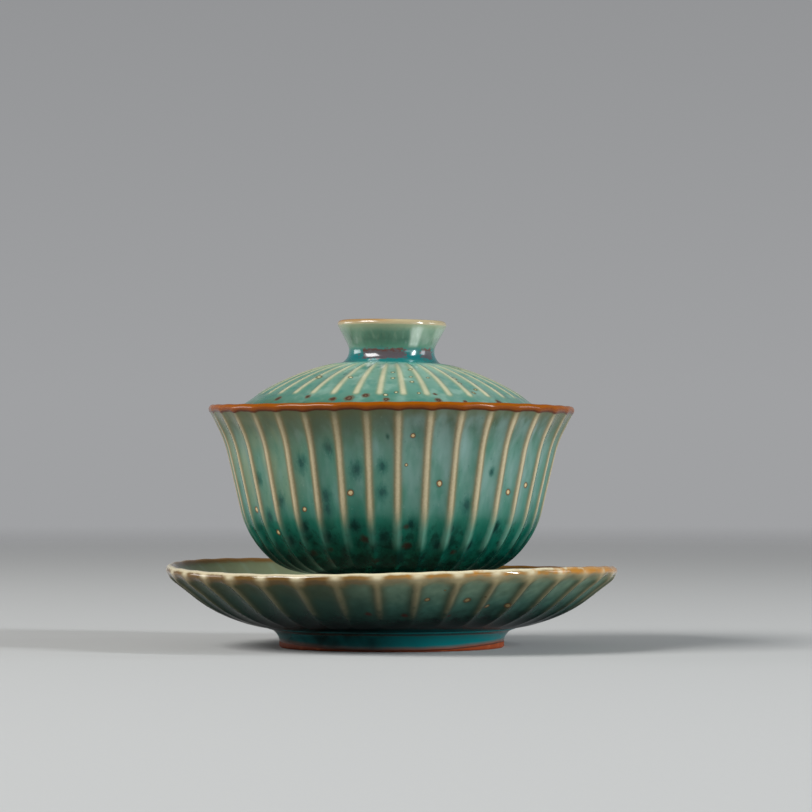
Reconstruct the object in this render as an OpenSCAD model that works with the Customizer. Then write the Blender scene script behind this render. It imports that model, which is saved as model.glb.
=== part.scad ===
// Gaiwan: a fluted, glazed tea bowl that stands on a saucer, under a domed lid with a ring knob.
// The origin is the centre of the saucer's foot, on the table. +Z is the common axis of all pieces.

/* [Whole set] */
// Height from the table to the top of the knob
set_h = 89; // [86:0.5:92]
// Number of raised ribs around each piece
rib_count = 36; // [24:1:40]
// Width of one rib, as an angle seen from the axis
rib_angle = 1.7; // [1:0.1:3]

/* [Saucer] */
// Diameter across the saucer's rim
saucer_d = 123; // [119:0.5:128]
// Height of the saucer's rim above the table
saucer_h = 22.2; // [20:0.1:25]
// Thickness of the saucer's wall and floor
saucer_wall = 2.6; // [2.2:0.1:3]
// Diameter of the saucer's foot ring where it stands
saucer_foot_d = 61.3; // [58:0.1:64]
// Height of the saucer's underside above the table
saucer_foot_h = 5; // [4.6:0.1:5.5]
// How far the ribs stand out from the saucer
saucer_rib_h = 0.5; // [0.2:0.1:0.8]

/* [Bowl] */
// Diameter across the bowl's flared rim
bowl_d = 100; // [97:0.5:103]
// Height of the bowl's rim above the table
bowl_rim_z = 66.1; // [64:0.1:68]
// Height of the bowl's underside above the table
bowl_base_z = 20; // [19:0.1:21]
// Thickness of the bowl's wall and base
bowl_wall = 2.2; // [1.8:0.1:2.6]
// Diameter of the bowl's foot ring
bowl_foot_d = 43; // [41:0.1:44]
// How far the ribs stand out from the bowl
bowl_rib_h = 0.6; // [0.2:0.1:0.8]

/* [Lid] */
// Thickness of the lid
lid_wall = 2.5; // [2:0.1:3]
// Outer radius of the lid's dome
dome_r = 68; // [64:0.5:72]
// How far the lid's edge sits below the bowl's rim
lid_drop = 4.9; // [4:0.1:6]
// How far the ribs stand out from the lid
lid_rib_h = 0.4; // [0.2:0.1:0.6]

/* [Knob] */
// Diameter across the top of the knob
knob_d = 29.8; // [28:0.1:32]
// Diameter of the knob's waist
knob_neck_d = 23.4; // [22:0.1:24]
// Thickness of the knob's wall
knob_wall = 2.2; // [1.8:0.1:2.8]

/* [Hidden] */
$fn = 128;

// Gap between pieces that only rest on each other
rest_gap = 0.12;
// How deep each rib is rooted in its wall
rib_root = 0.5;
// Largest turn between two points of a curved wall
fine_turn = 8;
// Angle between neighbouring ribs
rib_step = 360 / rib_count;
// Turn of the first rib on each piece, because the loose pieces don't line up
saucer_first_rib = 6.4;
bowl_first_rib = 2.1;
lid_first_rib = 5.2;

// Unit vectors along a heading and to its left. Heading 0 points away from the axis, 90 points up.
function along(heading) = [cos(heading), sin(heading)];
function left(heading) = [-sin(heading), cos(heading)];

// An arc from heading a to heading b, then a straight run at b, that together cover the offset d.
// The result is [radius of the arc, length of the run].
function arc_and_run(d, a, b) = [
    (d[0] * sin(b) - d[1] * cos(b)) / (1 - cos(b - a)),
    (d[1] * (sin(b) - sin(a)) - d[0] * (cos(a) - cos(b))) / (1 - cos(b - a))
];

// The offset covered by an arc from heading a to heading b, whichever way it bends
function arc_offset(r, a, b) = sign(b - a) * r * [sin(b) - sin(a), cos(a) - cos(b)];

// A profile is a start point, a heading and a list of steps. A step is [length, 0] for a straight
// run or [radius, turn] for a tangent arc, and a positive turn bends to the left.
function step_end(p, heading, step) = step[1] == 0
    ? p + step[0] * along(heading)
    : p + arc_offset(step[0], heading, heading + step[1]);

// The profile's points, each as [point, heading]
function path(p, heading, steps, i = 0) = i == len(steps)
    ? [[p, heading]]
    : concat(
        arc_points(p, heading, steps[i], ceil(abs(steps[i][1]) / fine_turn)),
        path(step_end(p, heading, steps[i]), heading + steps[i][1], steps, i + 1));
function arc_points(p, heading, step, pieces) = pieces == 0
    ? [[p, heading]]
    : [for (k = [0 : pieces - 1]) let (turned = heading + step[1] * k / pieces)
        [p + arc_offset(step[0], heading, turned), turned]];

// A path whose first and last points move half way to their neighbours
function shortened(path) = let (n = len(path)) [
    (path[0] + path[1]) / 2,
    for (i = [1 : n - 2]) path[i],
    (path[n - 2] + path[n - 1]) / 2
];

// Points beside a path, at a distance to its left
function beside(path, distance) = [for (s = path) s[0] + distance * left(s[1])];
function reversed(list) = [for (i = [len(list) - 1 : -1 : 0]) list[i]];

// Half circle that rounds the end of a wall, from its right side to its left side
lip_turn = 22.5;
function lip(bead, d, heading) = [
    for (turned = [lip_turn - 90 : lip_turn : 90 - lip_turn]) bead + d / 2 * along(heading + turned)
];

// --- Saucer: an even arc from the foot, a short straight run, and a rim that turns up
saucer_base_r = 29;
saucer_lean = 38;
saucer_rim_lean = 62;
saucer_rim_r = 7;
saucer_start = [saucer_base_r, saucer_foot_h];
saucer_bead = [saucer_d - saucer_wall, 2 * saucer_h - saucer_wall] / 2;
saucer_end = saucer_bead - saucer_wall / 2 * left(saucer_rim_lean);
saucer_dish = arc_and_run(
    saucer_end - saucer_start - arc_offset(saucer_rim_r, saucer_lean, saucer_rim_lean),
    0, saucer_lean);
saucer_path = path(saucer_start, 0, [
    [saucer_dish[0], saucer_lean],
    [saucer_dish[1], 0],
    [saucer_rim_r, saucer_rim_lean - saucer_lean]
]);
// Stretch on which the ribs stand out, from just outside the foot to the start of the upturned rim
saucer_rib_from = 7;
saucer_rib_path = shortened([
    for (s = saucer_path) if (s[1] > saucer_rib_from && s[1] <= saucer_lean) s
]);
saucer_floor_z = saucer_foot_h + saucer_wall;
// Raised ring on the floor that keeps the bowl's foot central
locating_ring_r = bowl_foot_d / 2 + 1.9;
locating_ring_w = 2;

// --- Saucer foot: an upright ring with a hollow curve up to the saucer
saucer_foot_r = saucer_foot_d / 2;
saucer_foot_wall = 3.4;
saucer_foot_band_h = 1.5;
saucer_foot_curve_r = 3.6;

// --- Bowl: tight arc at the base, fuller belly, straight wall and flared rim
bowl_base_arc_r = 17.5;
bowl_belly_heading = 42;
bowl_wall_heading = 77;
bowl_rim_heading = 54;
bowl_flare_r = 32;
bowl_start = [bowl_foot_d / 2, bowl_base_z];
bowl_bead = [bowl_d - bowl_wall, 2 * bowl_rim_z - bowl_wall] / 2;
bowl_end = bowl_bead - bowl_wall / 2 * left(bowl_rim_heading);
bowl_belly = arc_and_run(
    bowl_end - bowl_start - arc_offset(bowl_base_arc_r, 0, bowl_belly_heading)
        - arc_offset(bowl_flare_r, bowl_wall_heading, bowl_rim_heading),
    bowl_belly_heading, bowl_wall_heading);
bowl_path = path(bowl_start, 0, [
    [bowl_base_arc_r, bowl_belly_heading],
    [bowl_belly[0], bowl_wall_heading - bowl_belly_heading],
    [bowl_belly[1], 0],
    [bowl_flare_r, bowl_rim_heading - bowl_wall_heading]
]);
// Stretch on which the ribs stand out, from above the base to just below the rim
bowl_rib_from = bowl_base_z + 9;
bowl_rib_to = bowl_rim_z - 2;
bowl_rib_path = shortened([
    for (s = bowl_path) if (s[0][1] > bowl_rib_from && s[0][1] < bowl_rib_to) s
]);
// Centre of the flare's arc, outside the bowl
bowl_flare_centre = bowl_end - bowl_flare_r * left(bowl_rim_heading);

// --- Bowl foot
bowl_foot_r = bowl_foot_d / 2;
bowl_foot_wall = 3;
bowl_foot_z = saucer_floor_z + rest_gap;
bowl_foot_bevel = 0.7;

// --- Lid: a dome whose rounded edge rests inside the bowl's flare
lid_edge_z = bowl_rim_z - lid_drop;
lid_edge_reach = bowl_flare_r + bowl_wall + rest_gap + lid_wall / 2;
lid_edge_r = bowl_flare_centre[0]
    - sqrt(pow(lid_edge_reach, 2) - pow(lid_edge_z - bowl_flare_centre[1], 2));
dome_z = lid_edge_z - sqrt(pow(dome_r - lid_wall / 2, 2) - pow(lid_edge_r, 2));
dome_half_angle = asin(lid_edge_r / (dome_r - lid_wall / 2));
// Distance from the axis at which the lid's ribs start and end
lid_rib_from = 15.8;
lid_rib_to = 36.6;

// --- Knob: a ring with a rounded waist and a wall that leans out to a rounded rim
knob_waist_r = 3.8;
knob_waist_z = set_h - 8.35;
knob_foot_heading = 162;
knob_waist_centre = [knob_neck_d / 2 + knob_waist_r, knob_waist_z];
knob_bead = [knob_d - knob_wall, 2 * set_h - knob_wall] / 2;
knob_reach = knob_bead - knob_waist_centre;
knob_tangent = acos((knob_waist_r + knob_wall / 2) / norm(knob_reach));
knob_heading = atan2(knob_reach[1], knob_reach[0]) - 90 + knob_tangent;
knob_run = norm(knob_reach) * sin(knob_tangent);
knob_path = path(knob_waist_centre + knob_waist_r * left(knob_foot_heading), knob_foot_heading, [
    [knob_waist_r, knob_heading - knob_foot_heading],
    [knob_run, 0]
]);

// Part of a flat ring between two directions seen from its centre
module ring_sector(centre, r_in, r_out, a, b) {
    intersection() {
        translate(centre) difference() {
            circle(r = r_out);
            circle(r = r_in);
        }
        polygon([centre, centre + 2 * r_out * along(a), centre + 2 * r_out * along(b)]);
    }
}

// A wall of even thickness to the left of a path, with a rounded end. `base` holds the points that
// close it at its start.
module wall_section(path, wall, bead, base = []) {
    polygon(concat(
        beside(path, 0), lip(bead, wall, path[len(path) - 1][1]), reversed(beside(path, wall)), base));
}

// A strip along a path that stands out to its right and is rooted in the wall
module rib_section(path, height) {
    polygon(concat(beside(path, -height), reversed(beside(path, rib_root))));
}

// Copies of a narrow wedge of the given section, evenly spaced around the axis
module ribs_around(first_rib) {
    for (i = [0 : rib_count - 1])
        rotate([0, 0, first_rib + i * rib_step - 90 - rib_angle / 2])
            rotate_extrude(angle = rib_angle) children();
}

module saucer_section() {
    wall_section(
        saucer_path, saucer_wall, saucer_bead, [[0, saucer_floor_z], [0, saucer_foot_h]]);
}

module dome_section(from_angle, to_angle, r_in, r_out) {
    ring_sector([0, dome_z], r_in, r_out, 90 - from_angle, 90 - to_angle);
}

module saucer() {
    color("#2f625c") {
        rotate_extrude() {
            saucer_section();
            translate([locating_ring_r, saucer_floor_z]) circle(d = locating_ring_w);
        }
        ribs_around(saucer_first_rib)
            rib_section(saucer_rib_path, saucer_rib_h);
    }
}

module saucer_foot() {
    color("#8f5638")
        rotate_extrude() difference() {
            translate([saucer_foot_r - saucer_foot_wall, 0])
                square([saucer_foot_wall + saucer_foot_curve_r, saucer_foot_h + saucer_wall / 2]);
            translate([saucer_foot_r, -1])
                square([saucer_foot_curve_r + 1, saucer_foot_band_h + 1]);
            translate([saucer_foot_r + saucer_foot_curve_r, saucer_foot_band_h])
                circle(r = saucer_foot_curve_r);
            saucer_section();
        }
}

module bowl() {
    color("#5f8a83") {
        rotate_extrude()
            wall_section(
                bowl_path, bowl_wall, bowl_bead, [[0, bowl_base_z + bowl_wall], [0, bowl_base_z]]);
        ribs_around(bowl_first_rib)
            rib_section(bowl_rib_path, bowl_rib_h);
    }
}

module bowl_foot() {
    inner_r = bowl_foot_r - bowl_foot_wall;
    color("#8f5638")
        rotate_extrude() polygon([
            [inner_r, bowl_base_z],
            [inner_r, bowl_foot_z + bowl_foot_bevel],
            [inner_r + bowl_foot_bevel, bowl_foot_z],
            [bowl_foot_r - bowl_foot_bevel, bowl_foot_z],
            [bowl_foot_r, bowl_foot_z + bowl_foot_bevel],
            [bowl_foot_r, bowl_base_z]
        ]);
}

module lid() {
    color("#57a79d") {
        rotate_extrude() {
            dome_section(0, dome_half_angle, dome_r - lid_wall, dome_r);
            translate([lid_edge_r, lid_edge_z]) circle(d = lid_wall);
        }
        ribs_around(lid_first_rib)
            dome_section(
                asin(lid_rib_from / dome_r), asin(lid_rib_to / dome_r),
                dome_r - rib_root, dome_r + lid_rib_h);
    }
}

module lid_knob() {
    color("#8fb9a0")
        rotate_extrude() difference() {
            wall_section(knob_path, knob_wall, knob_bead);
            translate([0, dome_z]) circle(r = dome_r);
        }
}

saucer();
saucer_foot();
bowl();
bowl_foot();
lid();
lid_knob();
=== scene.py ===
import math

import bpy
import numpy as np
from mathutils import Matrix, Vector


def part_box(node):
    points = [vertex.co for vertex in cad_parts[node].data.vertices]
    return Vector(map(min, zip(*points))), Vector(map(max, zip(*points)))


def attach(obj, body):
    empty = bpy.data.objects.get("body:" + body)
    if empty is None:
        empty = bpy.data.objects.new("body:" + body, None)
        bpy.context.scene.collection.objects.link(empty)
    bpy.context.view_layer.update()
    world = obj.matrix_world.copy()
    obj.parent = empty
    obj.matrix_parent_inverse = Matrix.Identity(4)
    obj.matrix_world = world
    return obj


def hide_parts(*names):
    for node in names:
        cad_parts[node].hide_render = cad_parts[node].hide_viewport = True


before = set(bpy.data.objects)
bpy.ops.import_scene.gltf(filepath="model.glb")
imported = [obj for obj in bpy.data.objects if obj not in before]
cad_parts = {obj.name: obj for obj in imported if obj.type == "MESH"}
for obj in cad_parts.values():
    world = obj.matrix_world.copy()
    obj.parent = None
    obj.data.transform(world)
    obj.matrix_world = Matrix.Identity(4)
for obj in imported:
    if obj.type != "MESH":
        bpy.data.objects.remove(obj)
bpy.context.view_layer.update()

# A gaiwan in three loose pieces, each turned from a profile and fluted by formula. Lengths are in
# millimetres until a mesh is made. Azimuths are in degrees from the front (-Y), positive to the right.

MM = 0.001
RIBS = 36
PITCH = 360 / RIBS


def turned_box(node):
    """Radius, bottom and top of a turned CAD node."""
    low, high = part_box(node)
    return (high.x - low.x) / 2 / MM, low.z / MM, high.z / MM


# --------------------------------------------------------------------------------------------------
# Profiles: rows of radius, height and heading. Heading 0 points away from the axis, 90 points up.

def along(heading):
    a = math.radians(heading)
    return np.array([math.cos(a), math.sin(a)])


def left(heading):
    a = math.radians(heading)
    return np.array([-math.sin(a), math.cos(a)])


def arc_offset(radius, a, b):
    """The offset covered by an arc from heading a to heading b, whichever way it bends."""
    return math.copysign(radius, b - a) * (left(a) - left(b))


def arc_and_run(offset, a, b):
    """Radius of an arc from heading a to b, and length of the run at b, that together cover an offset."""
    (ca, sa), (cb, sb) = along(a), along(b)
    det = 1 - math.cos(math.radians(b - a))
    radius = (offset[0] * sb - offset[1] * cb) / det
    return radius, (offset[1] * (sb - sa) - offset[0] * (ca - cb)) / det


def trace(start, heading, steps, spacing):
    """Points along a chain of steps, each (length, 0) for a straight run or (radius, turn) for an arc."""
    rows, p = [], np.array(start, float)
    for size, turn in steps:
        length = size if turn == 0 else abs(size * math.radians(turn))
        pieces = max(1, round(length / spacing))
        for k in range(pieces):
            part = turn * k / pieces
            if turn == 0:
                moved = along(heading) * size * k / pieces
            else:
                moved = arc_offset(size, heading, heading + part)
            rows.append((*(p + moved), heading + part))
        p = p + (along(heading) * size if turn == 0 else arc_offset(size, heading, heading + turn))
        heading += turn
    rows.append((*p, heading))
    return np.array(rows)


def beside(rows, distance):
    """The same profile, moved to its left."""
    out = rows.copy()
    for i, heading in enumerate(rows[:, 2]):
        out[i, :2] += distance * left(heading)
    return out


def returning(rows):
    """A profile run backwards, so that its right side is still the outside."""
    out = rows[::-1].copy()
    out[:, 2] += 180
    return out


def lip(rows, wall, pieces=8):
    """The half round from the end of a profile to its other side, at a distance of wall to its left."""
    r, z, heading = rows[-1]
    centre = np.array([r, z]) + wall / 2 * left(heading)
    turns = [180 * k / pieces for k in range(1, pieces)]
    return np.array([(*(centre - wall / 2 * left(heading + t)), heading + t) for t in turns])


def spokes(r_in, r_out, z, heading, spacing):
    """A flat stretch of profile between two radii."""
    n = max(1, round(abs(r_out - r_in) / spacing))
    return np.array([(r_in + (r_out - r_in) * k / n, z, heading) for k in range(n)])


# --------------------------------------------------------------------------------------------------
# Turned meshes

# The distance from the rib that is written where there is no rib near
FAR = 99.0

# Places of the columns within one rib's pitch, close together at the rib and at no more than 0.1 apart
HALF = (0.03, 0.06, 0.09, 0.125, 0.165, 0.21, 0.27, 0.34, 0.42)
COLUMNS = [-x for x in reversed(HALF)] + [0.0, *HALF, 0.5]


def fluted_columns(first_rib):
    """Azimuths of a fluted mesh's columns, and how far each is from its rib, from 0 to 0.5 of a pitch."""
    place = np.array([i + u for i in range(RIBS) for u in COLUMNS])
    return first_rib + place * PITCH, np.tile(np.abs(COLUMNS), RIBS)


def plain_columns(count):
    return np.arange(count) * 360 / count, np.full(count, 0.5)


def add_object(name, data):
    thing = bpy.data.objects.new(name, data)
    bpy.context.scene.collection.objects.link(thing)
    return thing


def turned_mesh(name, rows, columns, push=None, lift=None, lip_at=None):
    """Turns a closed profile. Its ends lie on the axis, or it meets itself and makes a ring.

    push(across, rows) moves points outwards, and lift(azimuth, radius) moves them up. The mesh carries
    `across` (0 on a rib, 1 between ribs), `rib` (distance from the rib), `lip` (distance along the
    surface from the profile's lip) and `beyond` (1 on the side that comes after the lip).
    """
    azimuth, across = columns
    rows = np.asarray(rows)
    on_axis = rows[0, 0] < 1e-6
    out = np.array([[math.sin(math.radians(h)), -math.cos(math.radians(h))] for h in rows[:, 2]])
    d = push(across[None, :], rows[:, :, None]) if push else np.zeros((len(rows), len(azimuth)))
    r = rows[:, 0, None] + out[:, 0, None] * d
    z = rows[:, 1, None] + out[:, 1, None] * d
    if lift:
        z = z + lift(azimuth[None, :], r)
    a = np.radians(azimuth)[None, :]
    points = np.stack([r * np.sin(a), -r * np.cos(a), z], axis=2)

    steps = np.linalg.norm(np.diff(rows[:, :2], axis=0), axis=1)
    length = np.concatenate([[0], np.cumsum(steps)])
    from_lip = np.abs(length - length[lip_at]) if lip_at is not None else length
    width = rows[:, 0, None] * math.radians(PITCH)
    layers = {
        "across": np.broadcast_to(2 * across[None, :], r.shape),
        "rib": across[None, :] * width,
        "lip": np.broadcast_to(from_lip[:, None], r.shape),
        "beyond": np.broadcast_to((np.arange(len(rows)) > (lip_at or 0))[:, None] * 1.0, r.shape),
    }

    n, m = r.shape
    index = np.arange(n * m).reshape(n, m)
    faces = []
    if on_axis:
        caps = (points[0].mean(0), points[-1].mean(0))
        body = points[1:-1]
        layers = {k: v[1:-1] for k, v in layers.items()}
        n -= 2
        index = np.arange(n * m).reshape(n, m) + 2
        following = np.roll(index, -1, axis=1)
        faces += [(0, int(b), int(a)) for a, b in zip(index[0], following[0])]
        faces += [(1, int(a), int(b)) for a, b in zip(index[-1], following[-1])]
        points = np.vstack([caps, body.reshape(-1, 3)])
        ends = {
            "across": (1.0, 1.0), "rib": (FAR, FAR),
            "lip": (from_lip[0], from_lip[-1]), "beyond": (0.0, 1.0),
        }
        layers = {k: np.concatenate([ends[k], v.ravel()]) for k, v in layers.items()}
        lower, upper = index[:-1], index[1:]
    else:
        points = points.reshape(-1, 3)
        layers = {k: v.ravel() for k, v in layers.items()}
        lower, upper = index, np.roll(index, -1, axis=0)
    quads = np.stack([lower, np.roll(lower, -1, 1), np.roll(upper, -1, 1), upper], axis=2)
    faces += [tuple(int(v) for v in q) for q in quads.reshape(-1, 4)]

    mesh = bpy.data.meshes.new(name)
    mesh.from_pydata((points * MM).tolist(), [], faces)
    for key, values in layers.items():
        mesh.attributes.new(key, "FLOAT", "POINT").data.foreach_set("value", values.astype(np.float32))
    mesh.shade_smooth()
    mesh.validate()
    return add_object(name, mesh)


def ease(x, a, b):
    """0 at a, 1 at b, smooth between."""
    t = np.clip((x - a) / (b - a), 0, 1)
    return t * t * (3 - 2 * t)


# Rounding of a rib's edge, as a part of the pitch
ARRIS = 0.045


def hollow(across):
    """Depth of a flute's cross section: 0 on the rib's rounded edge, 1 in the middle of the flute."""
    x = np.sqrt(across ** 2 + ARRIS ** 2) - ARRIS
    x = x / (math.sqrt(0.25 + ARRIS ** 2) - ARRIS)
    return 1 - (1 - x) ** 2


# --------------------------------------------------------------------------------------------------
# Bowl

BOWL_WALL = 2.2
BOWL_FOOT_WALL = 3
BOWL_FIRST_RIB = 2.1
# At the belly, on the wall and at the rim
BOWL_HEADINGS = (42, 77, 54)
BOWL_BASE_ARC = 17.5
BOWL_FLARE_ARC = 32
BOWL_FLUTE = 0.75
BOWL_RIB_PROUD = 0.35

foot_r, bowl_foot_z, bowl_base_z = turned_box("bowl_foot")
bowl_r, _, bowl_rim_z = turned_box("bowl")


def bowl_profile(spacing):
    belly, wall, rim = BOWL_HEADINGS
    bead = np.array([bowl_r, bowl_rim_z]) - BOWL_WALL / 2
    end = bead - BOWL_WALL / 2 * left(rim)
    rest = end - (foot_r, bowl_base_z)
    rest = rest - arc_offset(BOWL_BASE_ARC, 0, belly) - arc_offset(BOWL_FLARE_ARC, wall, rim)
    radius, run = arc_and_run(rest, belly, wall)
    steps = [(BOWL_BASE_ARC, belly), (radius, wall - belly), (run, 0), (BOWL_FLARE_ARC, rim - wall)]
    return trace((foot_r, bowl_base_z), 0, steps, spacing)


def bowl_push(across, rows):
    """Flutes outside, deepest on the wall and easing out at the lip and near the foot."""
    r, z, heading = rows[:, 0], rows[:, 1], rows[:, 2]
    outside = heading < 90
    grown = ease(r, 22.5, 34)
    depth = BOWL_FLUTE * grown * (1 - 0.8 * ease(z, bowl_rim_z - 8, bowl_rim_z - 0.8))
    proud = BOWL_RIB_PROUD * grown * (1 - ease(z, bowl_rim_z - 6, bowl_rim_z - 1.2))
    shallow = -0.12 * hollow(across) * ease(z, 30, 40) * (z < bowl_rim_z - 0.5)
    return np.where(outside, proud - depth * hollow(across), shallow)


def bowl_lift(azimuth, r):
    """The rim dips a little at each rib, and it isn't quite level."""
    wave = 0.05 * np.cos(np.radians((azimuth - BOWL_FIRST_RIB) * RIBS))
    warp = 0.14 * np.sin(np.radians(azimuth * 3 + 40)) + 0.10 * np.cos(np.radians(azimuth * 2 - 35))
    tilt = -0.17 * np.sin(np.radians(azimuth)) - 0.25
    return (warp + tilt - wave) * ease(r, bowl_r - 9, bowl_r - 0.5)


def make_bowl():
    outer = bowl_profile(0.85)
    inner = returning(beside(bowl_profile(1.7), BOWL_WALL))
    edge = lip(outer, BOWL_WALL)
    base = spokes(0, foot_r, bowl_base_z, 0, 5)
    well_z = bowl_base_z + BOWL_WALL
    well = spokes(foot_r, 0, well_z, 180, 5)
    rows = np.vstack([base, outer, edge, inner[:-1], well, [(0, well_z, 180)]])
    lip_at = len(base) + len(outer) + len(edge) // 2
    return turned_mesh("bowl_shell", rows, fluted_columns(BOWL_FIRST_RIB), bowl_push, bowl_lift, lip_at)


def make_ring(name, outline, count=192, lip_at=None):
    """A plain ring turned from a closed outline of (radius, height, heading)."""
    return turned_mesh(name, outline, plain_columns(count), lip_at=lip_at)


def make_bowl_foot():
    """A ring with rounded lower corners, whose top is sunk into the bowl's base."""
    r_in, r_out, edge = foot_r - BOWL_FOOT_WALL, foot_r, 0.7
    top = bowl_base_z + 0.3
    rise = top - bowl_foot_z - edge
    steps = [(r_out - r_in - 2 * edge, 0), (edge, 90), (rise, 0)]
    foot = trace((r_in + edge, bowl_foot_z), 0, steps, 0.4)
    back = trace((r_in, top), 270, [(rise, 0), (edge, 90)], 0.4)
    return make_ring("bowl_foot_ring", np.vstack([foot, back[:-1]]))


# --------------------------------------------------------------------------------------------------
# Saucer

SAUCER_WALL = 2.6
SAUCER_FIRST_RIB = 6.4
SAUCER_BASE_R = 29
SAUCER_BASE_Z = 5
SAUCER_LEAN = 38
SAUCER_RIM_LEAN = 62
SAUCER_RIM_ARC = 7
SAUCER_FLUTE = 0.65

saucer_r, _, saucer_rim_z = turned_box("saucer")


def saucer_profile(spacing):
    bead = np.array([saucer_r, saucer_rim_z]) - SAUCER_WALL / 2
    end = bead - SAUCER_WALL / 2 * left(SAUCER_RIM_LEAN)
    rest = end - (SAUCER_BASE_R, SAUCER_BASE_Z) - arc_offset(SAUCER_RIM_ARC, SAUCER_LEAN, SAUCER_RIM_LEAN)
    radius, run = arc_and_run(rest, 0, SAUCER_LEAN)
    steps = [(radius, SAUCER_LEAN), (run, 0), (SAUCER_RIM_ARC, SAUCER_RIM_LEAN - SAUCER_LEAN)]
    return trace((SAUCER_BASE_R, SAUCER_BASE_Z), 0, steps, spacing)


def saucer_push(across, rows):
    """Broad flutes that end in an arch under the rounded lip."""
    r, heading = rows[:, 0], rows[:, 2]
    h = hollow(across)
    arch = saucer_r - 2.4 + 1.9 * h
    flute = -SAUCER_FLUTE * h * ease(r, 36, 52) * (1 - ease(r, arch - 0.9, arch + 0.5))
    ridge = 0.2 * (1 - ease(across, 0.0, 0.2)) * ease(r, 40, 54)
    ridge = ridge * (1 - ease(r, saucer_r - 1.6, saucer_r - 0.2))
    shallow = -0.18 * h * ease(r, 36, 50) * (1 - ease(r, saucer_r - 5, saucer_r - 3))
    return np.where(heading < 90, flute + ridge, shallow)


def saucer_lift(azimuth, r):
    """The rim is a little wavy and warped, as a thin plate comes out of the kiln."""
    warp = np.cos(np.radians(2 * (azimuth - 52))) + 0.35 * np.cos(np.radians(azimuth + 80)) - 0.15
    wave = 0.07 * np.cos(np.radians((azimuth - SAUCER_FIRST_RIB) * RIBS))
    return warp * ease(r, 30, 66) / ease(saucer_r, 30, 66) - wave * ease(r, saucer_r - 5, saucer_r - 0.5)


def make_saucer():
    outer = saucer_profile(0.85)
    inner = returning(beside(saucer_profile(1.7), SAUCER_WALL))
    edge = lip(outer, SAUCER_WALL, 10)
    base = spokes(0, SAUCER_BASE_R, SAUCER_BASE_Z, 0, 6)
    well_z = SAUCER_BASE_Z + SAUCER_WALL
    well = spokes(SAUCER_BASE_R, 0, well_z, 180, 1.2)
    rows = np.vstack([base, outer, edge, inner[:-1], well, [(0, well_z, 180)]])
    # The low ring in the well that keeps the bowl's foot in place
    ring_r, ring_h, ring_w = foot_r + 1.9, 0.9, 0.9
    crest = np.exp(-((rows[:, 0] - ring_r) / ring_w) ** 2) * (rows[:, 1] == well_z)
    rows[:, 1] += ring_h * crest
    lip_at = len(base) + len(outer) + len(edge) // 2
    columns = fluted_columns(SAUCER_FIRST_RIB)
    return turned_mesh("saucer_dish", rows, columns, saucer_push, saucer_lift, lip_at)


def make_saucer_foot():
    """An upright ring that curves out into the saucer's underside."""
    r_in, r_out, edge, curve = 27.25, 30.65, 0.35, 3.6
    steps = [(r_out - r_in - 2 * edge, 0), (edge, 90), (1.5 - edge, 0), (curve, -82)]
    outline = trace((r_in + edge, 0), 0, steps, 0.4)
    top = SAUCER_BASE_Z + 0.5
    back = trace((r_in, top), 270, [(top - edge, 0), (edge, 90)], 0.4)
    return make_ring("saucer_foot_ring", np.vstack([outline, [(outline[-1, 0], top, 90)], back[:-1]]), 240)


# --------------------------------------------------------------------------------------------------
# Lid and knob

LID_WALL = 2.5
LID_FIRST_RIB = 5.2
LID_RIBS_END = 36.6
DOME_R = 68
KNOB_WALL = 2.2
KNOB_NECK_R = 11.7
KNOB_WAIST_ARC = 3.8

lid_r, lid_low_z, _ = turned_box("lid")
knob_r, _, knob_top_z = turned_box("lid_knob")
lid_edge_r = lid_r - LID_WALL / 2
lid_edge_z = lid_low_z + LID_WALL / 2
dome_z = lid_edge_z - math.sqrt((DOME_R - LID_WALL / 2) ** 2 - lid_edge_r ** 2)


def lid_push(across, rows):
    """Ribs on the dome's crown, with a plain band outside them."""
    r, heading = rows[:, 0], rows[:, 2]
    crown = ease(r, 13, 18) * (1 - ease(r, LID_RIBS_END - 1.5, LID_RIBS_END + 1.2))
    top = (heading > 90) & (heading < 181)
    return (0.26 - 0.38 * hollow(across)) * crown * top


def dome_profile(spacing):
    """The dome's top from its edge to the axis."""
    lean = math.degrees(math.asin(lid_edge_r / (DOME_R - LID_WALL / 2)))
    start = DOME_R * left(-lean) + (0, dome_z)
    return trace(start, 180 - lean, [(DOME_R, lean)], spacing)


def make_lid():
    outer = dome_profile(0.8)
    under = returning(beside(dome_profile(1.6), LID_WALL))
    edge = lip(under, -LID_WALL)
    rows = np.vstack([under, edge, outer])
    rows[0, 0] = rows[-1, 0] = 0
    lip_at = len(under) + len(edge) // 2
    return turned_mesh("lid_dome", rows, fluted_columns(LID_FIRST_RIB), lid_push, lip_at=lip_at)


def make_knob():
    """A ring with a rounded waist and a wall that leans out to a rounded rim."""
    waist = np.array([KNOB_NECK_R + KNOB_WAIST_ARC, knob_top_z - 8.35])
    bead = np.array([knob_r, knob_top_z]) - KNOB_WALL / 2
    reach = bead - waist
    tangent = math.degrees(math.acos((KNOB_WAIST_ARC + KNOB_WALL / 2) / np.linalg.norm(reach)))
    heading = math.degrees(math.atan2(reach[1], reach[0])) - 90 + tangent
    run = np.linalg.norm(reach) * math.sin(math.radians(tangent))
    start = waist + KNOB_WAIST_ARC * left(165)
    outer = trace(start, 165, [(KNOB_WAIST_ARC, heading - 165), (run, 0)], 0.3)
    inside = trace(waist + KNOB_WAIST_ARC * left(128), 128, [
        (KNOB_WAIST_ARC, heading - 128), (run, 0)], 0.5)
    inner = returning(beside(inside, KNOB_WALL))
    rim = lip(outer, KNOB_WALL, 12)
    return make_ring("lid_knob_ring", np.vstack([outer, rim, inner]), 240, len(outer) + len(rim) // 2)


bowl = make_bowl()
bowl_foot = make_bowl_foot()
saucer = make_saucer()
saucer_foot = make_saucer_foot()
lid = make_lid()
knob = make_knob()

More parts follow.
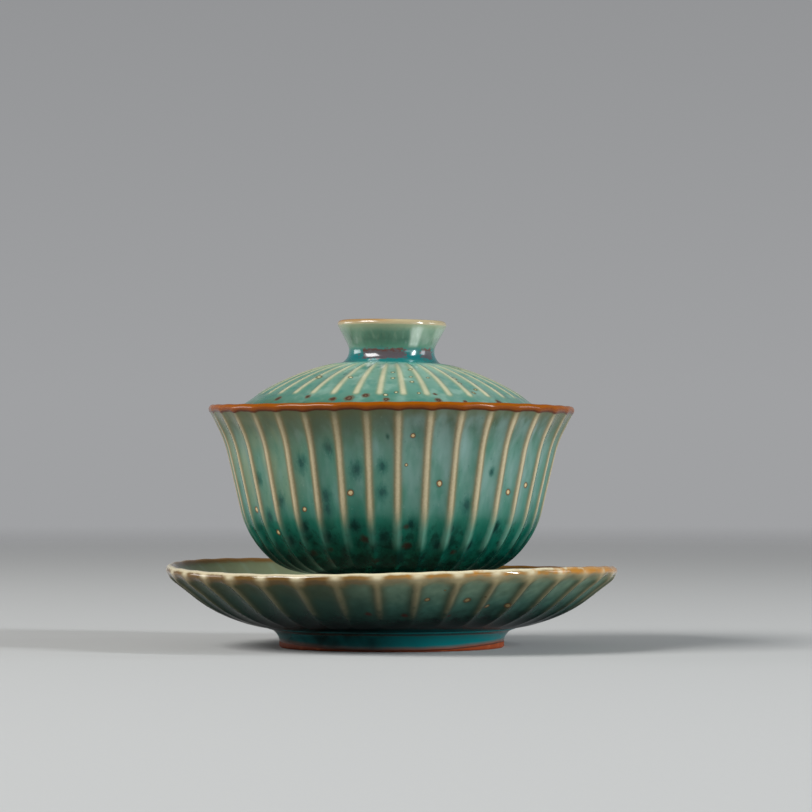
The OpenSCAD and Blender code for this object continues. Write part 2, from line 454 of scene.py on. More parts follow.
# The lid sits a little askew in the bowl, lower on the right
LID_TILT = 0.8
LID_SHIFT = -0.28
settle = Matrix.Translation((LID_SHIFT * MM, 0, lid_edge_z * MM))
settle = settle @ Matrix.Rotation(math.radians(LID_TILT), 4, "Y")
settle = settle @ Matrix.Translation((0, 0, -lid_edge_z * MM))
for piece in (lid, knob):
    piece.data.transform(settle)


# --------------------------------------------------------------------------------------------------
# Shader building blocks. Lengths are millimetres.

def rgb(*levels):
    """A colour given as sRGB levels, 0 to 255."""
    return (*(((c / 255 + 0.055) / 1.055) ** 2.4 if c > 10 else c / 255 / 12.92 for c in levels), 1.0)


class Number:
    """A number that varies over a surface: a shader node's output, with ordinary arithmetic."""

    def __init__(self, look, socket):
        self.look, self.socket = look, socket

    def math(self, operation, other):
        node = self.look.node("ShaderNodeMath", (self, other), operation=operation)
        return Number(self.look, node.outputs[0])

    def __add__(self, other):
        return self.math("ADD", other)

    def __sub__(self, other):
        return self.math("SUBTRACT", other)

    def __mul__(self, other):
        return self.math("MULTIPLY", other)

    def __truediv__(self, other):
        return self.math("DIVIDE", other)

    def __abs__(self):
        return self.math("ABSOLUTE", 0)

    def smaller(self, other):
        return self.math("MINIMUM", other)

    def larger(self, other):
        return self.math("MAXIMUM", other)

    def step(self, start, end):
        """0 at start, 1 at end, smooth between. The end may be below the start."""
        node = self.look.node("ShaderNodeMapRange", (self, start, end, 0, 1), interpolation_type="SMOOTHSTEP")
        return Number(self.look, node.outputs[0])

    def band(self, low, high, soft):
        """1 between low and high, and 0 a soft distance outside them."""
        return self.step(low - soft, low) * self.step(high + soft, high)


class Look:
    """A material under construction: a colour that is painted over layer by layer, and relief."""

    def __init__(self, name, roughness):
        self.material = bpy.data.materials.new(name)
        self.material.use_nodes = True
        self.tree = self.material.node_tree
        self.shader = self.tree.nodes["Principled BSDF"]
        self.shader.inputs["Roughness"].default_value = roughness
        coordinates = self.node("ShaderNodeTexCoord").outputs["Object"]
        in_mm = (1 / MM, 1 / MM, 1 / MM)
        scaled = self.node("ShaderNodeVectorMath", (coordinates, in_mm), operation="MULTIPLY")
        self.place = scaled.outputs[0]
        parts = self.node("ShaderNodeSeparateXYZ", (self.place,)).outputs
        self.x, self.y, self.z = (Number(self, part) for part in parts)
        self.r = (self.x * self.x + self.y * self.y).math("POWER", 0.5)
        self.azimuth = self.x.math("ARCTAN2", self.y * -1) * math.degrees(1)
        self.colour = None

    def node(self, kind, inputs=(), **settings):
        node = self.tree.nodes.new(kind)
        for key, value in settings.items():
            setattr(node, key, value)
        for place, value in zip(node.inputs, inputs):
            self.feed(place, value)
        return node

    def feed(self, place, value):
        value = getattr(value, "socket", value)
        if isinstance(value, bpy.types.NodeSocket):
            self.tree.links.new(value, place)
        else:
            place.default_value = value

    def attribute(self, name):
        return Number(self, self.node("ShaderNodeAttribute", attribute_name=name).outputs["Fac"])

    def stretched(self, wide, tall, shift):
        """Texture coordinates for features of a width and height, moved so that two never match."""
        moved, scaled = (shift, -shift, 3.7 * shift), (1 / wide, 1 / wide, 1 / tall)
        node = self.node("ShaderNodeMapping", (self.place, moved, (0, 0, 0), scaled))
        return node.outputs[0]

    def noise(self, wide, tall=None, shift=0.0, detail=2.0, rough=0.5):
        """Clouds of mostly -0.6 to 0.6, as wide and as tall as given."""
        node = self.node("ShaderNodeTexNoise")
        self.feed(node.inputs["Vector"], self.stretched(wide, tall or wide, shift))
        node.inputs["Scale"].default_value = 1
        node.inputs["Detail"].default_value = detail
        node.inputs["Roughness"].default_value = rough
        return (Number(self, node.outputs[0]) - 0.5) * 3

    def cells(self, wide, tall=None, shift=0.0):
        """Distance to the nearest of many scattered points, and a number from 0 to 1 that belongs to it."""
        node = self.node("ShaderNodeTexVoronoi")
        self.feed(node.inputs["Vector"], self.stretched(wide, tall or wide, shift))
        node.inputs["Scale"].default_value = 1
        chance = self.node("ShaderNodeSeparateColor", (node.outputs["Color"],)).outputs[0]
        return Number(self, node.outputs["Distance"]) * wide, Number(self, chance)

    def nearest(self, points, tall=1):
        """Distance to the nearest of some points, each (x, y, z, size), in units of its size.

        The marks are stretched upwards by tall.
        """
        found = None
        squeeze = (1, 1, 1 / tall)
        place = self.node("ShaderNodeVectorMath", (self.place, squeeze), operation="MULTIPLY").outputs[0]
        for x, y, z, size in points:
            at = (x, y, z / tall)
            away = self.node("ShaderNodeVectorMath", (place, at), operation="DISTANCE").outputs["Value"]
            away = Number(self, away) / size
            found = away if found is None else found.smaller(away)
        return found

    def ramp(self, x, stops):
        """A colour that follows x through (x, colour) stops."""
        low, high = stops[0][0], stops[-1][0]
        node = self.node("ShaderNodeValToRGB", ((x - low) / (high - low),))
        elements = node.color_ramp.elements
        while len(elements) < len(stops):
            elements.new(1.0)
        for element, (at, colour) in zip(elements, stops):
            element.position, element.color = (at - low) / (high - low), colour
        return node.outputs["Color"]

    def paint(self, colour, mask=None):
        """Lays a colour over what is there, as much as the mask says."""
        if mask is not None:
            node = self.node("ShaderNodeMix", data_type="RGBA")
            for index, value in ((0, mask), (6, self.colour), (7, colour)):
                self.feed(node.inputs[index], value)
            colour = node.outputs[2]
        self.colour = colour

    def finish(self, height, gloss=0.35, coat=0.0, roughness=None):
        """Connects the colour, the relief (a height in millimetres), the coat and perhaps a roughness."""
        self.feed(self.shader.inputs["Base Color"], self.colour)
        bump = self.node("ShaderNodeBump")
        bump.inputs["Distance"].default_value = MM
        self.feed(bump.inputs["Height"], height)
        self.feed(self.shader.inputs["Normal"], bump.outputs[0])
        self.shader.inputs["Specular IOR Level"].default_value = gloss
        self.feed(self.shader.inputs["Coat Weight"], coat)
        self.shader.inputs["Coat Roughness"].default_value = 0.05
        if roughness is not None:
            self.feed(self.shader.inputs["Roughness"], roughness)
        return self.material


# --------------------------------------------------------------------------------------------------
# Glaze colours

CREAM = rgb(198, 182, 148)
CREAM_LIGHT = rgb(236, 226, 192)
TAN = rgb(142, 114, 74)
OLIVE = rgb(92, 98, 68)
CELADON_PALE = rgb(150, 168, 142)
EMERALD = rgb(10, 66, 54)
INK = rgb(5, 30, 28)
IRON = rgb(58, 20, 12)
RUST = rgb(78, 30, 2)
ORANGE = rgb(134, 66, 0)
CLAY = rgb(140, 58, 18)


def dotted(look, away, strength=1.0, ring=rgb(116, 72, 34), core=rgb(208, 184, 136)):
    """Pinholes healed over: a pale dot in a brown ring, with the glaze darker around it."""
    look.paint(INK, away.step(2.3, 1.0) * 0.35 * strength)
    look.paint(ring, away.step(1.6, 1.05) * 0.9 * strength)
    look.paint(core, away.step(1.0, 0.6) * strength)


# A distance to a mark, in units of its size, that leaves the mark out
NOWHERE = 9


def scattered(away, size, wanted):
    """Distance to scattered marks in units of their size, and far off where they aren't wanted."""
    return (away / size).larger(wanted.step(0.6, 0.4) * NOWHERE)


def around(azimuth, r, z):
    a = math.radians(azimuth)
    return r * math.sin(a), -r * math.cos(a), z


def on_profile(rows, azimuth, z, size):
    """A point on a turned outside at a height."""
    return (*around(azimuth, float(np.interp(z, rows[:, 1], rows[:, 0])), z), size)


# Azimuth, height and radius of the marks that show on the bowl
BOWL_DOTS = (
    (-15, 42.3, 0.66), (-34.4, 37.9, 0.5), (-63, 37.6, 0.65), (-52, 31.6, 0.65), (7, 57.2, 0.5),
    (5, 49.6, 0.34), (17.2, 44.7, 0.65), (47.8, 42.4, 0.62), (58, 44.2, 0.6), (12, 25.6, 0.36),
    (13.6, 61.6, 0.3),
)
BOWL_BLOTCHES = (
    (-21.8, 54.1, 1.5), (-33, 50, 1.6), (-24.4, 41.2, 1.5), (-24.4, 38, 1.5), (-12.5, 48.5, 1.7),
    (-3.2, 49.2, 1.3), (-3.6, 42.4, 1.4), (-1.4, 57, 0.5), (-45.6, 40, 1.5), (-35.7, 33.5, 1.6),
    (-14.4, 33.7, 1.8), (7.5, 34, 1.3), (28.8, 38.8, 1.5), (37.8, 47.8, 0.8),
    (45, 33, 1.6), (-56, 46, 1.2), (-26.5, 30.8, 1.6), (-46, 29.6, 1.6), (-3, 30.6, 1.5),
    (19, 28.4, 1.5), (34, 28.2, 1.6), (23, 33.2, 1.3), (-54, 36, 1.3),
)
BOWL_IRON = (
    (-11, 30.2, 1.2), (-39, 23.6, 1.1), (-7.5, 24.6, 1.0), (-48, 30.6, 0.7), (-36.5, 26.4, 1.0),
    (6.2, 28.4, 1.2), (-27, 27.5, 0.9), (28, 26.5, 0.8), (-29, 24.4, 1.1), (5.5, 33.4, 0.7),
)


def ribs_painted(look, away, fade, width, halo):
    """Ribs where the glaze ran thin: cream on the crest, tan at its edges, olive beside it."""
    away = away + look.noise(0.5, 0.9, 3.1) * 0.11 + look.noise(4, 14, 5.5) * 0.1
    look.paint(OLIVE, away.step(halo, width * 0.6) * fade * 0.4)
    look.paint(TAN, away.step(width * 1.7, width * 0.5) * fade * 0.64)
    grain = look.noise(0.45, 0.6, 8.8, detail=3) * 0.16 + 0.84
    look.paint(CREAM, away.step(width, width * 0.1) * fade * grain)


def bowl_look():
    look = Look("bowl_glaze", 0.2)
    rows = beside(bowl_profile(0.5), 0.5 * BOWL_FLUTE)
    rib, lip_away, inside = look.attribute("rib"), look.attribute("lip"), look.attribute("beyond")
    z = look.z
    cloud = look.noise(9, 13, 1.3, detail=3)
    run = look.noise(3.2, 22, 4.2)
    mottle = look.noise(3.4, 4.6, 8.2, detail=3, rough=0.6)
    # right is the bowl's right side; added to the level it lightens the glaze there, which is painted light
    # from the lamps on that side.
    right = look.azimuth.band(12, 52, 24)
    level = z + cloud * 2.2 + run * 2.0 + mottle * 0.9 + right * 1.5
    look.paint(look.ramp(level, (
        (19, rgb(0, 24, 23)), (23, rgb(1, 42, 36)), (27, rgb(3, 62, 52)), (31, rgb(8, 82, 68)),
        (35.5, rgb(34, 104, 87)), (40, rgb(62, 118, 101)), (46, rgb(76, 124, 107)), (56, rgb(80, 122, 105)),
        (61, rgb(72, 102, 85)), (64.5, rgb(74, 80, 52)),
    )))
    pale = look.noise(4, 15, 2.7).step(-0.1, 1.1) * z.step(33, 42)
    look.paint(rgb(126, 156, 152), pale * z.step(63, 58) * 0.6)
    look.paint(rgb(44, 104, 84), look.noise(5, 11, 6.1).step(0.0, 1.2) * z.step(30, 40) * 0.6)
    # A paler olive on the left side: painted light where the key lamp falls.
    painted_left_light = look.noise(5, 18, 3.6).step(-0.6, 0.8) * look.azimuth.band(-80, -46, 20)
    look.paint(rgb(128, 142, 112), painted_left_light * z.step(34, 44) * 0.75)
    # A pale bluish cast on the right side: a painted sheen from the lamps on that side.
    painted_right_sheen = look.noise(4, 12, 5.9).step(-0.7, 0.7) * right
    look.paint(rgb(136, 162, 156), painted_right_sheen * z.step(32, 44) * 0.55)
    look.paint(rgb(1, 30, 27), mottle.step(-0.05, 0.4) * z.step(37, 29) * 0.75)
    look.paint(rgb(16, 98, 82), (mottle * -1).step(0.0, 0.5) * z.step(36, 30) * 0.5)

    speck = look.noise(0.9, 1.5, 7.7)
    ragged = look.noise(1.1, 2.2, 3.3, detail=3, rough=0.65)
    blotch = look.nearest([on_profile(rows, a, h, s) for a, h, s in BOWL_BLOTCHES], 1.6)
    away, chance = look.cells(8.5, 13, 2.2)
    elsewhere = abs(look.azimuth).step(74, 78)
    skipped = chance.step(0.35, 0.3) * NOWHERE
    blotch = blotch.smaller(scattered(away, 1.5, elsewhere).larger(skipped)) + ragged * 0.55
    look.paint(rgb(30, 92, 80), blotch.step(1.7, 0.5) * 0.7)
    look.paint(rgb(6, 50, 50), blotch.step(0.85, 0.1) * 0.6)
    look.paint(rgb(2, 34, 32), blotch.step(1.3, 0.3) * z.step(37, 33) * 0.7)
    grain = look.noise(1.0, 1.6, 9.4, detail=3, rough=0.7)
    look.paint(rgb(30, 84, 74), grain.step(0.25, 0.9) * z.step(32, 42) * 0.4)
    look.paint(rgb(134, 160, 144), (grain * -1).step(0.25, 0.9) * z.step(32, 42) * 0.35)

    low = z + run * 0.8
    crest = rib + look.noise(1.5, 8, 9.9) * 0.3
    # Pale green crests low on the ribs are thin glaze, and their extra strength on the right is painted
    # light.
    look.paint(rgb(104, 152, 134), crest.step(1.7, 0.1) * low.band(30, 36, 4) * (right * 0.5 + 0.28))
    ribs_painted(look, rib / (z.step(54, 64) * 0.25 + 1), low.step(31, 40.5), 0.92, 2.4)
    look.paint(rgb(96, 92, 60), z.step(50, 63) * (right * -0.4 + 0.45))
    iron = look.nearest([on_profile(rows, a, h, s) for a, h, s in BOWL_IRON]) + speck * 0.3
    look.paint(IRON, iron.step(1.6, 0.3) * 0.65)

    dots = look.nearest([on_profile(rows, a, h, s) for a, h, s in BOWL_DOTS])
    away, _ = look.cells(8.2, 8.2, 5.2)
    dots = dots.smaller(scattered(away, 0.55, elsewhere)) + speck * 0.3
    dotted(look, dots)

    look.paint(look.ramp(z + cloud, (
        (20, rgb(60, 100, 82)), (26, rgb(96, 130, 108)), (40, rgb(124, 148, 124)), (62, rgb(128, 146, 120)),
    )), inside)
    look.paint(CELADON_PALE, inside * rib.step(1.6, 0.2) * z.step(30, 40) * 0.45)

    flow = lip_away + look.noise(3.5, 3.5, 6.6) * 0.22 - rib.step(2.4, 0.2) * 0.2
    look.paint(OLIVE, flow.step(5.4, 2.0) * 0.6)
    look.paint(RUST, flow.step(2.5, 2.0))
    look.paint(ORANGE, flow.step(2.1, 1.3) * (look.noise(1.2, 1.2, 1.9) * 0.15 + 0.8))
    look.paint(rgb(182, 100, 6), flow.step(1.1, 0.3) * 0.4)

    peel = look.noise(1.6, 2.4, 2.9) * 0.012
    grit = look.noise(0.22, 0.22, 6.4) * 0.006 * rib.step(1.2, 0.5)
    beads = dots.step(1.0, 0.2) * 0.05
    shine = (z.step(26, 40) * 0.2 + 0.1) * (lip_away.step(4, 2) * -0.3 + 1)
    shine = shine.larger(inside * lip_away.step(2, 5) * 0.5)
    return look.finish(peel + grit + beads, 0.12, shine)


def on_dome(azimuth, r, size):
    """A point on the lid's dome."""
    return (*around(azimuth, r, dome_z + math.sqrt(DOME_R ** 2 - r ** 2)), size)


# Azimuth, radius from the axis, and size of the marks that show on the lid
LID_DOTS = (
    (-44, 28, 0.6), (-23, 28, 0.4), (0.7, 24, 0.34), (0.6, 28, 0.36), (13, 22, 0.4), (10.8, 27, 0.32),
    (10.3, 30, 0.38), (20.6, 27.4, 0.32), (37.7, 27.6, 0.5), (36.8, 30.4, 0.4), (38.8, 35, 0.45),
    (1.9, 35.5, 0.32), (-2.5, 36.7, 0.38), (11.6, 35.7, 0.32), (42, 33.5, 0.4),
)
LID_IRON = (
    (-51.7, 38.4, 0.9), (-36, 37.6, 0.7), (-17.1, 38.2, 1.0), (-10.7, 37.0, 0.8), (-23.7, 38.6, 0.8),
    (18.7, 38.6, 0.8), (47.8, 38.8, 0.9), (-2.2, 38.6, 0.7), (18.6, 36, 0.5), (30, 38.9, 0.6),
)


def lid_look():
    look = Look("lid_glaze", 0.2)
    rib, lip_away, top = look.attribute("rib"), look.attribute("lip"), look.attribute("beyond")
    r = look.r
    cloud = look.noise(7, 7, 2.3, detail=3)
    level = r + cloud * 1.5
    # Past 38 mm the ramp darkens to olive at the lid's edge: a painted reflection of the bowl's brown rim.
    look.paint(look.ramp(level, (
        (0, rgb(62, 120, 96)), (9, rgb(84, 140, 116)), (12.5, rgb(66, 146, 134)), (16, rgb(126, 174, 152)),
        (22, rgb(120, 162, 143)), (34, rgb(98, 148, 130)), (38.5, rgb(84, 134, 115)),
        (40.5, rgb(74, 116, 92)), (43.5, rgb(78, 98, 70)),
    )))
    look.paint(rgb(162, 192, 176), look.noise(4, 4, 1.7).step(-0.2, 0.8) * r.step(42, 38) * 0.4)
    look.paint(rgb(50, 124, 112), look.noise(4, 4, 6.4).step(0.0, 0.7) * 0.6)
    # Pale patches in a ring round the knob: a painted sheen on the dome.
    painted_neck_sheen = r.step(27, 17) * r.step(13, 16)
    look.paint(rgb(186, 204, 184), look.noise(5, 5, 9.3).step(-0.6, 0.9) * painted_neck_sheen * 0.6)
    # Paler on the right side: painted light from the lamps on that side.
    look.paint(rgb(168, 190, 176), look.azimuth.band(34, 75, 26) * (cloud * 0.3 + 0.16))
    speck = look.noise(0.9, 0.9, 7.7)
    away, chance = look.cells(5, 5, 4.4)
    dark = (away / 0.6).larger(chance.step(0.5, 0.45) * NOWHERE) + speck * 0.3
    look.paint(rgb(20, 78, 74), dark.step(1.5, 0.4) * 0.55 * top)

    beyond_ends = (r - 35.9).larger(0) + (r * -1 + 16.6).larger(0)
    away = (rib * rib + beyond_ends * beyond_ends).math("POWER", 0.5) - (r - 16) * 0.012
    thin = away + look.noise(0.6, 0.6, 3.1) * 0.1
    ghost = top * r.step(14.5, 22) * (look.noise(5, 5, 5.1) * 0.25 + 0.8)
    look.paint(rgb(136, 152, 118), thin.step(1.4, 0.4) * top * r.step(14, 19) * 0.6)
    look.paint(rgb(206, 200, 164), thin.step(0.85, 0.0) * ghost)

    iron = look.nearest([on_dome(*mark) for mark in LID_IRON]) + speck * 0.35
    look.paint(rgb(104, 88, 62), iron.step(1.8, 1.1) * 0.7)
    look.paint(rgb(78, 38, 26), iron.step(1.15, 0.7) * 0.85)
    look.paint(rgb(122, 104, 80), iron.step(0.5, 0.2) * 0.7)
    dots = look.nearest([on_dome(azimuth, at, size * 1.25) for azimuth, at, size in LID_DOTS])
    away, _ = look.cells(6.5, 6.5, 8.1)
    elsewhere = abs(look.azimuth).step(52, 58)
    dots = dots.smaller(scattered(away, 0.45, elsewhere)) + speck * 0.1
    dotted(look, dots, r.step(13, 15) * top, rgb(112, 104, 62), rgb(206, 204, 164))

    look.paint(look.ramp(r + cloud, (
        (0, rgb(110, 142, 118)), (36, rgb(124, 148, 122)), (43, rgb(118, 132, 98)),
    )), top * -1 + 1)
    flow = lip_away + look.noise(3, 3, 6.6) * 0.2
    look.paint(RUST, flow.step(2.6, 2.0) * 0.85)
    look.paint(ORANGE, flow.step(1.9, 1.2) * 0.8)
    relief = look.noise(1.6, 1.6, 2.9) * 0.012 + dots.step(1.0, 0.2) * 0.05
    return look.finish(relief, 0.45, 0.25)


def knob_look():
    look = Look("knob_glaze", 0.16)
    z, lip_away = look.z, look.attribute("lip")
    cloud = look.noise(4, 5, 3.3, detail=3)
    look.paint(look.ramp(z + cloud * 0.5, (
        (76, rgb(40, 120, 112)), (79, rgb(12, 108, 110)), (80.8, rgb(22, 112, 104)),
        (81.8, rgb(78, 128, 104)), (83.6, rgb(72, 112, 93)), (85.6, rgb(92, 130, 108)),
        (87.4, rgb(146, 160, 134)),
    )))
    edge = look.noise(1.2, 0.6, 5.1, detail=3)
    for low, high, strength in ((-40, 15, 0.85), (45, 64, 0.8), (120, 150, 0.8), (-128, -96, 0.8)):
        wide = (look.azimuth + edge * 12).band(low, high, 6) * strength
        look.paint(rgb(92, 70, 74), wide * (z + edge * 0.7).band(78.5, 80.7, 0.4))
        look.paint(rgb(92, 42, 24), wide * (z + edge * 0.8).band(80.6, 81.0, 0.3) * 0.9)
    streak = look.noise(1.6, 12, 4.9)
    look.paint(rgb(134, 160, 138), streak.step(0.0, 0.6) * z.step(81.5, 84) * 0.3)
    look.paint(rgb(40, 88, 72), (streak * -1).step(0.1, 0.6) * z.band(81.8, 84.5, 1.5) * 0.25)
    # Paler on both sides of the knob, most on the right: painted light where the lamps fall.
    pale = look.azimuth.band(32, 120, 14).larger(look.azimuth.band(-130, -50, 20) * 0.5)
    look.paint(rgb(156, 178, 156), pale * z.step(81, 84) * (cloud * 0.4 + 0.55))
    # A pale vertical streak on the right: a painted highlight standing in for a lamp's reflection.
    look.paint(rgb(192, 206, 190), look.azimuth.band(26, 33, 6) * z.step(81, 82.5) * (streak * 0.4 + 0.75))
    flow = lip_away + look.noise(2.5, 2.5, 7.2) * 0.15
    look.paint(rgb(150, 160, 126), flow.step(3.0, 1.7) * 0.7)
    look.paint(rgb(180, 162, 124), flow.step(1.7, 1.2) * 0.95)
    look.paint(rgb(198, 180, 140), flow.step(1.0, 0.1) * 0.6)
    look.paint(rgb(176, 124, 60), flow.step(1.2, 0.3) * look.azimuth.band(-130, -20, 30) * 0.7)
    return look.finish(look.noise(1.6, 1.6, 2.9) * 0.01, 0.6, 0.4)


# Azimuth, height and radius of the marks that show on the saucer's underside
SAUCER_DOTS = (
    (9.7, 14.7, 0.62), (21.4, 14.2, 0.85), (28.8, 12.6, 0.65), (35.6, 12.9, 0.8), (13.8, 17.2, 0.25),
    (26, 15.6, 0.3), (39, 16.6, 0.3),
)
SAUCER_IRON = ((-13, 13.4, 0.7), (-7, 11.0, 0.9), (4, 10.6, 0.9), (18, 10.4, 0.6))


def saucer_look():
    look = Look("saucer_glaze", 0.2)
    rows = beside(saucer_profile(0.5), 0.7 * SAUCER_FLUTE)
    rib, across = look.attribute("rib"), look.attribute("across")
    lip_away, inside = look.attribute("lip"), look.attribute("beyond")
    r = look.r
    cloud = look.noise(7, 7, 1.9, detail=3)
    run = look.noise(2.5, 2.5, 4.8)
    # The underside runs to near black towards the foot: the glaze's own darkness with painted shade where it
    # faces the floor. right lightens the right side, which is painted light from the lamps there.
    right = look.azimuth.band(10, 130, 30)
    look.paint(look.ramp(r + cloud * 1.8 + right * 1.8, (
        (20, rgb(4, 28, 26)), (31, rgb(0, 4, 4)), (38, rgb(0, 6, 6)), (43, rgb(1, 18, 16)),
        (49, rgb(10, 38, 32)), (55, rgb(30, 52, 42)), (59, rgb(54, 62, 44)),
    )))
    # Lighter teal in the middle of each flute near the rim, mostly on the right: painted light on the flutes.
    painted_flute_light = across.step(0.0, 0.7) * (look.noise(5, 5, 2.7) * 0.5 + 0.75)
    look.paint(rgb(64, 106, 94), painted_flute_light * (r + run).step(43, 54) * (right * 0.75 + 0.1))
    look.paint(rgb(122, 142, 118), painted_flute_light * (r + run).step(50, 61) * (right * 0.8 + 0.08))
    # Near-black clouds low on the underside: more painted shade towards the foot.
    look.paint(rgb(0, 10, 10), look.noise(4, 4, 7.1).step(0.0, 0.6) * r.step(53, 45) * 0.6)
    speck = look.noise(0.9, 0.9, 7.7)
    iron = look.nearest([on_profile(rows, *mark) for mark in SAUCER_IRON]) + speck * 0.3
    look.paint(IRON, iron.step(1.5, 0.4) * 0.8)

    drop = lip_away + run * 0.25
    fade = (r + run * 3).step(46, 62)
    away = rib + run * 0.3
    # Ridge lines and the marks under the lip are lighter on the right: their glaze colour with painted light
    # from the lamps on that side.
    look.paint(rgb(86, 84, 60), away.step(3.0, 0.2) * fade * 0.5)
    look.paint(rgb(158, 146, 114), away.step(1.5, 0.0) * fade * (right * 0.3 + 0.34))

    ragged = look.noise(2.2, 1.2, 2.1, detail=3)
    look.paint(rgb(88, 76, 42), (drop + ragged * 0.8).step(5.4, 1.6) * (right * -0.2 + 0.55))
    look.paint(rgb(90, 66, 24), (drop + ragged * 0.5).band(1.1, 2.4, 1.6) * (right * -0.5 + 0.9))
    look.paint(rgb(150, 136, 100), (drop + ragged * 0.9).step(6.0, 1.2) * right * 0.7)
    look.paint(rgb(160, 108, 34), (drop + ragged * 0.4).band(1.0, 1.4, 0.7) * (right * 0.5 + 0.2))
    away_rib = across + run * 0.08
    bulb = away_rib.step(0.6, 0.0) * (drop + ragged * 0.6).step(4.6, 0.8)
    look.paint(rgb(178, 164, 126), bulb * 0.7)
    look.paint(CREAM_LIGHT, away_rib.step(0.45, 0.0) * drop.step(2.3, 0.8) * 0.55)

    look.paint(look.ramp(r + cloud, (
        (0, rgb(80, 122, 98)), (20, rgb(104, 140, 114)), (32, rgb(126, 152, 124)),
        (50, rgb(150, 164, 134)), (59, rgb(142, 150, 114)),
    )), inside)
    look.paint(CELADON_PALE, inside * rib.step(1.6, 0.2) * r.step(38, 46) * 0.4)
    look.paint(rgb(150, 104, 48), inside * drop.step(3.2, 1.8) * 0.9)
    look.paint(CREAM, drop.step(1.05, 0.5) * (look.noise(1.8, 1.8, 9.1) * 0.12 + 0.85))
    look.paint(CREAM_LIGHT, drop.step(0.8, 0.1) * 0.7)
    gold = (look.noise(2.2, 2.2, 5.7) * 0.9 + look.azimuth.band(72, 140, 50) * 1.1 - 0.2).step(-0.1, 0.7)
    look.paint(rgb(184, 120, 28), drop.step(2.6, 1.0) * gold * look.azimuth.band(12, 150, 20) * 0.8)

    dots = look.nearest([on_profile(rows, *mark) for mark in SAUCER_DOTS])
    away, _ = look.cells(9, 9, 6.6)
    elsewhere = abs(look.azimuth).step(76, 80) * r.step(33, 36)
    dots = dots.smaller(scattered(away, 0.5, elsewhere)) + speck * 0.12
    dotted(look, dots, 0.8, rgb(88, 62, 38), rgb(140, 120, 82))
    relief = look.noise(1.6, 1.6, 2.9) * 0.012 + dots.step(1.0, 0.2) * 0.05
    shine = (drop.step(4, 2) * 0.7 + 0.03).larger(inside * 0.6)
    return look.finish(relief, 0.03, shine)


def foot_look(name, low, glaze_from, glaze, top, dip):
    """Bare clay where the ring stands, a burnt line, then glaze, which runs lower by dip at the front."""
    look = Look(name, 0.2)
    edge = look.noise(5, 5, 3.9) * 0.16
    front = (look.y / look.r * -1).larger(0)
    height = look.z - low + edge
    z = height + front * front * dip
    grit = look.noise(0.35, 0.35, 2.2, detail=3)
    right = look.azimuth.band(25, 130, 40)
    look.paint(look.ramp(z, ((0, CLAY), (glaze_from, CLAY), (glaze_from + 1.2, glaze), (top, glaze))))
    # Away from the right side the glaze edge and the clay beside it go dark: painted shade.
    painted_shade_side = right * -1 + 1
    pooled = z.step(glaze_from, glaze_from + 0.3) * (look.noise(7, 7, 8.4) * 0.5 + 0.65)
    look.paint(INK, painted_shade_side * pooled)
    look.paint(rgb(84, 34, 14), painted_shade_side * z.step(glaze_from + 0.2, glaze_from) * 0.6)
    toasted = look.noise(3, 3, 6.1).step(0, 1.2) * z.step(glaze_from, glaze_from - 0.3)
    look.paint(rgb(190, 112, 70), toasted * 0.5)
    look.paint(rgb(90, 44, 26), grit.step(0.5, 1.3) * z.step(glaze_from, glaze_from - 0.2) * 0.6)
    look.paint(rgb(60, 30, 18), z.band(glaze_from - 0.05, glaze_from + 0.1, 0.15) * 0.9)
    look.paint(rgb(60, 34, 18), height.band(top - 0.4, top - 0.1, 0.3) * 0.7)
    bare = z.step(glaze_from + 0.05, glaze_from - 0.1)
    return look.finish(grit * bare * 0.03, 0.2, 0.1, bare * 0.6 + 0.16)


for piece, look in (
    (bowl, bowl_look()),
    (lid, lid_look()),
    (knob, knob_look()),
    (saucer, saucer_look()),
    (saucer_foot, foot_look("saucer_foot_clay", 0, 1.8, rgb(0, 112, 114), 4.9, 1.5)),
    (bowl_foot, foot_look("bowl_foot_clay", bowl_foot_z, 1.0, EMERALD, 12, 0)),
):
    piece.data.materials.append(look)

# --------------------------------------------------------------------------------------------------
# Set: pale floor, soft lights, camera. Lengths are metres.

AIM = Vector((0, 0, 0.045))
CAMERA = Vector((0, -0.997, 0.0488))
CAMERA_TARGET = Vector((0.0039, 0, 0.0657))


def place_on_sphere(azimuth, elevation, distance):
    a, e = math.radians(azimuth), math.radians(elevation)
    return AIM + distance * Vector((math.sin(a) * math.cos(e), -math.cos(a) * math.cos(e), math.sin(e)))


def turn_to(thing, target):
    """Points a lamp or a camera, which look down their own -Z, at a place."""
    thing.rotation_mode = "QUATERNION"
    thing.rotation_quaternion = (target - thing.location).to_track_quat("-Z", "Y")


def softbox(name, azimuth, elevation, distance, width, height, power, colour=(1, 1, 1)):
    """A rectangular area light that faces the gaiwan."""
    light = bpy.data.lights.new(name, "AREA")
    light.shape = "RECTANGLE"
    light.size, light.size_y = width, height
    light.energy = power
    light.color = colour
    lamp = add_object(name, light)
    lamp.location = place_on_sphere(azimuth, elevation, distance)
    turn_to(lamp, AIM)


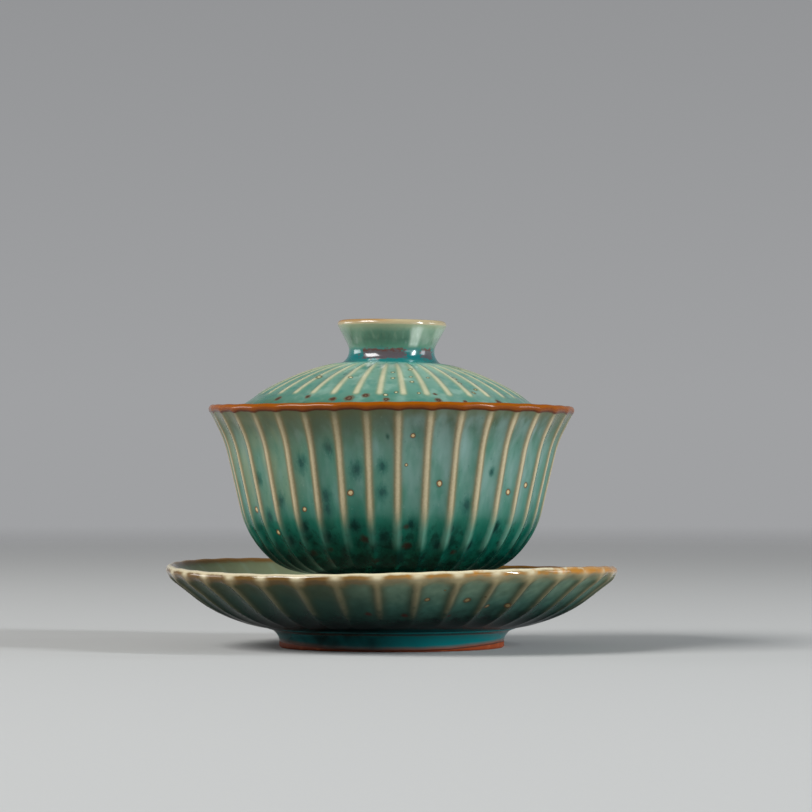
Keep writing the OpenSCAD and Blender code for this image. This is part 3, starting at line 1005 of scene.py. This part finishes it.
def make_floor():
    """A round pale floor that fades into the background far from the gaiwan."""
    size, sides = 4, 64
    mesh = bpy.data.meshes.new("floor")
    turns = [math.tau * k / sides for k in range(sides)]
    rim = [(size * math.sin(turn), size * math.cos(turn), 0) for turn in turns]
    mesh.from_pydata(rim, [], [tuple(reversed(range(sides)))])
    floor = add_object("floor", mesh)
    look = Look("pale_floor", 1)
    look.paint(rgb(196, 196, 194))
    material = look.finish(look.noise(2, 2, 1.1) * 0.02, 0)
    far = (look.r * MM).step(0.45, 2.2)
    clear = look.node("ShaderNodeBsdfTransparent")
    mixed = look.node("ShaderNodeMixShader", (far, look.shader.outputs[0], clear.outputs[0]))
    look.feed(look.tree.nodes["Material Output"].inputs["Surface"], mixed.outputs[0])
    mesh.materials.append(material)


def make_camera():
    data = bpy.data.cameras.new("camera")
    data.lens = 161.8
    data.sensor_width = 36
    camera = add_object("camera", data)
    camera.location = CAMERA
    turn_to(camera, CAMERA_TARGET)
    bpy.context.scene.camera = camera


def make_world():
    """A pale background at eye level that darkens overhead, so that the glaze keeps its depth."""
    world = bpy.data.worlds.new("studio")
    world.use_nodes = True
    tree = world.node_tree
    back = tree.nodes["Background"]
    coordinates = tree.nodes.new("ShaderNodeTexCoord")
    parts = tree.nodes.new("ShaderNodeSeparateXYZ")
    ramp = tree.nodes.new("ShaderNodeValToRGB")
    tree.links.new(coordinates.outputs["Generated"], parts.inputs[0])
    tree.links.new(parts.outputs["Z"], ramp.inputs[0])
    tree.links.new(ramp.outputs["Color"], back.inputs["Color"])
    near, far = ramp.color_ramp.elements
    near.position, near.color = 0.02, rgb(160, 161, 163)
    far.position, far.color = 0.5, rgb(90, 91, 93)
    back.inputs["Strength"].default_value = 1.0
    scene = bpy.context.scene
    scene.world = world
    scene.view_settings.view_transform = "Standard"


make_floor()
make_camera()
make_world()
softbox("key", -62, 40, 2.0, 1.1, 0.8, 35)
softbox("left_low", -108, 11, 2.0, 1.0, 0.6, 8)
softbox("strip", 64, 18, 1.6, 0.09, 0.9, 20, (0.9, 0.95, 1.0))
softbox("right_low", 94, 12, 2.0, 0.5, 0.8, 6, (0.86, 0.94, 1.0))
softbox("right_front", 46, 8, 2.0, 0.6, 0.5, 2.2, (0.78, 0.9, 1.0))

for piece, node, body, slot in (
    (saucer, "saucer", "saucer", "saucer_glaze"),
    (saucer_foot, "saucer_foot", "saucer", "saucer_foot_clay"),
    (bowl, "bowl", "bowl", "bowl_glaze"),
    (bowl_foot, "bowl_foot", "bowl", "bowl_foot_clay"),
    (lid, "lid", "lid", "lid_glaze"),
    (knob, "lid_knob", "lid", "knob_glaze"),
):
    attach(piece, body)
    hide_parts(node)
